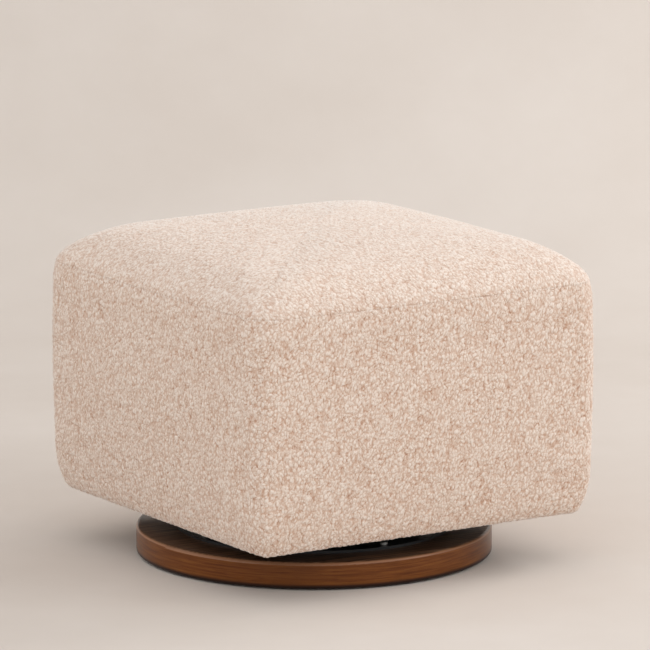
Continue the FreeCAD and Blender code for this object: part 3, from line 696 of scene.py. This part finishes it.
def walnut():
    """Walnut: straight dark grain on top, running front to back, and fine level grain round the side, with
    a painted highlight along the rim between them and painted shade darkening the foot."""
    shader = Shader("walnut", Specular_IOR_Level=0.05, Coat_Weight=0.6, Coat_IOR=1.32, Coat_Roughness=0.1)
    spot = shader.add("SeparateXYZ", Vector=shader.place()).outputs

    # The side, as if it were rolled out flat
    around = shader.math("MULTIPLY", shader.math("ARCTAN2", spot["Y"], spot["X"]), BASE_RADIUS)
    rolled_out = shader.add("CombineXYZ", X=around, Y=spot["Z"]).outputs[0]
    side = shader.noise(shader.stretch(rolled_out, (5.0, 130.0, 1.0)), 3.0, 6.0, 0.62, 0.35)
    side_colour = shader.ramp(side, (0.22, linear(78, 40, 14)), (0.48, linear(104, 58, 23)),
                              (0.68, linear(122, 72, 30)), (0.85, linear(140, 88, 40)))
    pores = shader.noise(shader.stretch(rolled_out, (22.0, 900.0, 1.0)), 2.0, 3.0, 0.6)
    pores = shader.math("MULTIPLY", shader.math("GREATER_THAN", pores, 0.6), 0.35)
    side_colour = shader.mix(pores, side_colour, linear(60, 32, 18))
    # Painted shade: the side darkens towards its foot, standing in for the shadow in the gap above the
    # floor
    painted_foot_shade = shader.step(spot["Z"], FOOT_SHADE_TOP, FOOT_SHADE_BOTTOM)
    side_colour = shader.mix(painted_foot_shade, side_colour, linear(36, 19, 11))

    # The top
    lines = shader.noise(shader.place((140.0, 4.5, 1.0), (0, 0, math.radians(4))), 2.0, 5.0, 0.6, 0.25)
    top_colour = shader.ramp(lines, (0.3, linear(52, 35, 25)), (0.5, linear(104, 76, 57)),
                             (0.72, linear(150, 116, 90)))
    broad = shader.noise(shader.place((24.0, 1.4, 1.0)), 2.0, 3.0, 0.5, 0.6)
    top_colour = shader.mix(shader.math("MULTIPLY", broad, 0.4), top_colour, linear(70, 48, 34))

    # Both, and the rim where the surface turns from one to the other
    upward = shader.upward()
    top = shader.math("MAXIMUM", shader.math("MULTIPLY_ADD", upward, 4.0, -2.6), 0.0)
    top = shader.math("SMOOTH_MIN", top, 1.0, 0.1)
    colour = shader.mix(top, side_colour, top_colour)
    # Painted highlight: the rounded rim is mixed towards a light colour, standing in for light caught on
    # the edge
    rim = shader.math("SUBTRACT", shader.step(upward, 0.1, 0.4), shader.step(upward, 0.65, 0.95))
    colour = shader.mix(shader.math("MULTIPLY", rim, 0.5), colour, linear(168, 126, 98))
    height = shader.mix(top, side, lines)
    uneven = shader.math("MULTIPLY_ADD", side, 0.18, 0.34)
    return shader.finish(Base_Color=colour, Roughness=uneven, Normal=shader.bump(height, 0.12, 0.0006))


def grained(name, dark, light, scale):
    """Plain sawn timber, with grain along one direction."""
    shader = Shader(name, Roughness=0.7, Specular_IOR_Level=0.3)
    grain = shader.noise(shader.place(scale), 3.0, 5.0, 0.6, 0.8)
    colour = shader.ramp(grain, (0.25, dark), (0.75, light))
    return shader.finish(Base_Color=colour, Normal=shader.bump(grain, 0.2, 0.0006))


def coated(name, dark, light, rough, metal, grain_scale, strength):
    """Coated, plated or moulded surface: slight mottling and a fine texture."""
    shader = Shader(name, Metallic=metal, Specular_IOR_Level=0.5)
    spot = shader.place()
    mottle = shader.noise(spot, 45.0, 4.0, 0.6)
    fine = shader.noise(spot, grain_scale, 2.0, 0.5)
    colour = shader.ramp(mottle, (0.3, dark), (0.7, light))
    uneven = shader.math("MULTIPLY_ADD", mottle, 0.16, rough - 0.08)
    return shader.finish(Base_Color=colour, Roughness=uneven, Normal=shader.bump(fine, strength, 0.0004))


def dust_cloth():
    """Thin black non-woven cloth with a faint weave."""
    shader = Shader("dust_cloth", Roughness=0.9, Specular_IOR_Level=0.2, Sheen_Weight=0.2)
    bands = []
    for direction in ("X", "Y"):
        band = shader.add("TexWave", {"bands_direction": direction}, Vector=shader.place(), Scale=260.0)
        bands.append(band.outputs["Fac"])
    weave = shader.math("MULTIPLY", bands[0], bands[1])
    colour = shader.ramp(weave, (0.0, linear(16, 15, 15)), (1.0, linear(34, 32, 31)))
    return shader.finish(Base_Color=colour, Normal=shader.bump(weave, 0.4, 0.0005))


# Dark and light colour, and how the grain is stretched
TIMBERS = {
    "plywood": (linear(178, 140, 96), linear(214, 182, 138), (30.0, 4.0, 60.0)),
    "softwood": (linear(196, 156, 104), linear(226, 192, 144), (50.0, 5.0, 50.0)),
}

# Dark and light colour, roughness, metal, and the scale and strength of the fine texture
COATINGS = {
    "black_steel": (linear(17, 17, 18), linear(27, 27, 28), 0.38, 0.0, 1400.0, 0.25),
    "zinc_steel": (linear(168, 168, 164), linear(198, 198, 194), 0.34, 1.0, 2200.0, 0.12),
    "bearing_steel": (linear(186, 187, 190), linear(208, 209, 211), 0.2, 1.0, 2600.0, 0.06),
    "pad_rubber": (linear(20, 19, 19), linear(34, 33, 32), 0.8, 0.0, 900.0, 0.4),
    "foam": (linear(226, 216, 180), linear(238, 230, 200), 0.95, 0.0, 700.0, 0.6),
}


def finishes():
    """A material for each slot of the record."""
    made = {"pile_fabric": pile_fabric(), "walnut": walnut(), "dust_cloth": dust_cloth()}
    for slot, settings in TIMBERS.items():
        made[slot] = grained(slot, *settings)
    for slot, settings in COATINGS.items():
        made[slot] = coated(slot, *settings)
    return made


def paint(piece, material):
    """Gives a piece one material, in place of any that it has."""
    piece.data.materials.clear()
    piece.data.materials.append(material)


# Studio

# The camera's angles and, in metres, its target and distance; lens and sensor are in millimetres
AZIMUTH = math.radians(57.42)
ELEVATION = math.radians(11.04)
TO_CAMERA = np.array([math.sin(AZIMUTH), -math.cos(AZIMUTH), 0])
CAMERA_RIGHT = np.array([math.cos(AZIMUTH), math.sin(AZIMUTH), 0])
UP = np.array([0, 0, 1])
CAMERA_TARGET = np.array([0.0071, 0.0021, 0.2763])
CAMERA_DISTANCE = 7.2049
CAMERA_LENS = 332.3
CAMERA_SENSOR = 36.0
CAMERA_SIGHT = 60.0
LAMP_TARGET = (0, 0, 0.2)

# The backdrop, in metres: how far the floor reaches each way, and the curve that starts behind the object
# and turns the floor up into a wall
FLOOR_REACH = 25.0
CURVE_BEHIND = 1.2
CURVE_RADIUS = 0.9
CURVE_STEPS = 12
WALL_TOP = 3.5


def studio_spot(right, towards, up):
    """A place given by its distances to the camera's right, towards the camera and up."""
    return CAMERA_RIGHT * right + TO_CAMERA * towards + UP * up


def aim(thing, spot, target):
    """Places a camera or lamp at a spot, looking at a target."""
    thing.location = Vector(spot)
    thing.rotation_euler = (Vector(target) - Vector(spot)).to_track_quat("-Z", "Y").to_euler()


def camera():
    """The camera at the photo's viewing angle."""
    data = bpy.data.cameras.new("camera")
    data.lens = CAMERA_LENS
    data.sensor_width = CAMERA_SENSOR
    data.clip_end = CAMERA_SIGHT
    thing = bpy.data.objects.new("camera", data)
    bpy.context.scene.collection.objects.link(thing)
    direction = TO_CAMERA * math.cos(ELEVATION) + UP * math.sin(ELEVATION)
    aim(thing, CAMERA_TARGET + CAMERA_DISTANCE * direction, CAMERA_TARGET)
    bpy.context.scene.camera = thing


def lamp(name, spot, size, power, colour):
    """A soft square lamp, turned to the object."""
    data = bpy.data.lights.new(name, "AREA")
    data.size = size
    data.energy = power
    data.color = colour
    thing = bpy.data.objects.new(name, data)
    bpy.context.scene.collection.objects.link(thing)
    aim(thing, spot, LAMP_TARGET)


def backdrop():
    """A floor that curves up into a wall behind the object, with a faint plaster mottle. Its back is clear,
    so that it hides nothing from a camera behind it."""
    # The point under the object keeps the smooth shading of the curve away from the floor in front of it
    profile = [(FLOOR_REACH, 0.0), (0.0, 0.0), (-CURVE_BEHIND, 0.0)]
    for step in range(1, CURVE_STEPS + 1):
        turn = math.radians(90 * step / CURVE_STEPS)
        towards = -CURVE_BEHIND - CURVE_RADIUS * math.sin(turn)
        profile.append((towards, CURVE_RADIUS * (1 - math.cos(turn))))
    profile.append((-CURVE_BEHIND - CURVE_RADIUS, WALL_TOP))
    # A second stretch of floor, behind the wall, for cameras that stand there
    wall_end = len(profile) - 1
    profile += [(-CURVE_BEHIND, 0.0), (-FLOOR_REACH, 0.0)]
    points = []
    for towards, up in profile:
        for right in (-FLOOR_REACH, FLOOR_REACH):
            points.append(studio_spot(right, towards, up) / MM)
    quads = np.delete(grid_quads(len(profile), 2), wall_end, axis=0)
    sheet = mesh_object("backdrop", np.array(points), quads, [], {})
    shader = Shader("plaster", Roughness=0.9, Specular_IOR_Level=0.2)
    mottle = shader.noise(shader.place(), 3.0, 5.0, 0.6)
    colour = shader.ramp(mottle, (0.3, linear(205, 196, 188)), (0.7, linear(211, 203, 196)))
    paint(sheet, shader.finish(Base_Color=colour, Normal=shader.bump(mottle, 0.05, 0.004)))
    clear = shader.add("BsdfTransparent").outputs[0]
    one_sided = shader.add("MixShader")
    backfacing = shader.add("NewGeometry").outputs["Backfacing"]
    shader.set(one_sided, {0: backfacing, 1: shader.surface.outputs[0], 2: clear})
    shader.tree.links.new(one_sided.outputs[0], shader.tree.nodes["Material Output"].inputs["Surface"])


def studio():
    """Plain soft light from all round, three lamps, the backdrop and the camera."""
    scene = bpy.context.scene
    scene.view_settings.view_transform = "Standard"
    world = bpy.data.worlds.new("world")
    world.use_nodes = True
    background = world.node_tree.nodes["Background"].inputs
    background["Color"].default_value = (1.0, 0.995, 0.99, 1.0)
    background["Strength"].default_value = 0.99
    scene.world = world
    lamp("key", studio_spot(2.7, 1.0, 1.5), size=1.5, power=18.5, colour=(1.0, 0.99, 0.98))
    lamp("rim", studio_spot(2.2, -1.3, 1.7), size=1.0, power=24, colour=(1.0, 1.0, 1.0))
    lamp("fill", studio_spot(-1.8, 2.4, 1.5), size=1.8, power=10, colour=(1.0, 0.99, 0.98))
    backdrop()
    camera()


studio()
slots = finishes()
for entry in frame["record"]["subparts"]:
    paint(frame["nodes"][entry["node"]], slots[entry["material_slot"]])

pads = {side: side_pad(side) for side in SIDES}
for side, piece in pads.items():
    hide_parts(side + "_cover", side + "_foam")
pads["top"] = top_cushion()
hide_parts("top_cover", "top_foam")
for piece in pads.values():
    paint(piece, slots["pile_fabric"])
    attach(piece, "seat")
